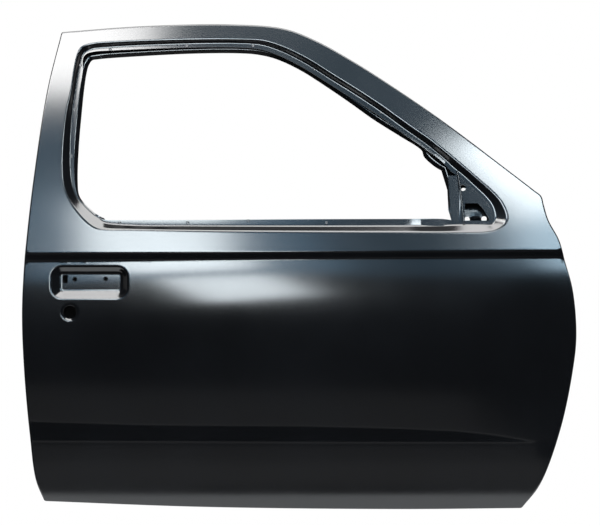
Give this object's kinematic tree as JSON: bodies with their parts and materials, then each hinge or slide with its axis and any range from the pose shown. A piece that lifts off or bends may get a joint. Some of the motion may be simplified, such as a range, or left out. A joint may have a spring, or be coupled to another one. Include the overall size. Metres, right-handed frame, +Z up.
{
  "type": "car door shell",
  "caption": "Bare front door shell of a compact pickup, right-hand side: pressed steel skin and window frame over an inner pressing with its reinforcements, in black primer.",
  "frame": {"origin": "centre of the lower hinge seat, on the outer face of the hinge wall", "axes": "+X to the front of the vehicle, out of the hinge wall; +Y inboard; +Z up"},
  "size_m": [1.1628, 0.1862, 1.0186],
  "materials": {
    "black_primer": "satin",
    "mastic": "matte"
  },
  "bodies": {
    "root": {"outer_panel": "black_primer", "inner_panel": "black_primer", "glass_run_channel": "black_primer", "rear_run_channel": "black_primer", "division_bar": "black_primer", "rear_run_bracket": "black_primer", "division_bar_bracket": "black_primer", "mirror_mount_plate": "black_primer", "belt_reinforcement_outer": "black_primer", "belt_reinforcement_inner": "black_primer", "upper_hinge_reinforcement": "black_primer", "lower_hinge_reinforcement": "black_primer", "upper_hinge_tapping_plate": "black_primer", "lower_hinge_tapping_plate": "black_primer", "check_link_reinforcement": "black_primer", "latch_reinforcement": "black_primer", "impact_beam": "black_primer", "impact_beam_rear_bracket": "black_primer", "impact_beam_front_bracket": "black_primer", "flutter_pad_rear": "mastic", "flutter_pad_middle": "mastic", "flutter_pad_front": "mastic", "handle_reinforcement": "black_primer", "lock_reinforcement": "black_primer", "door_pull_reinforcement": "black_primer"}
  },
  "joints": []
}
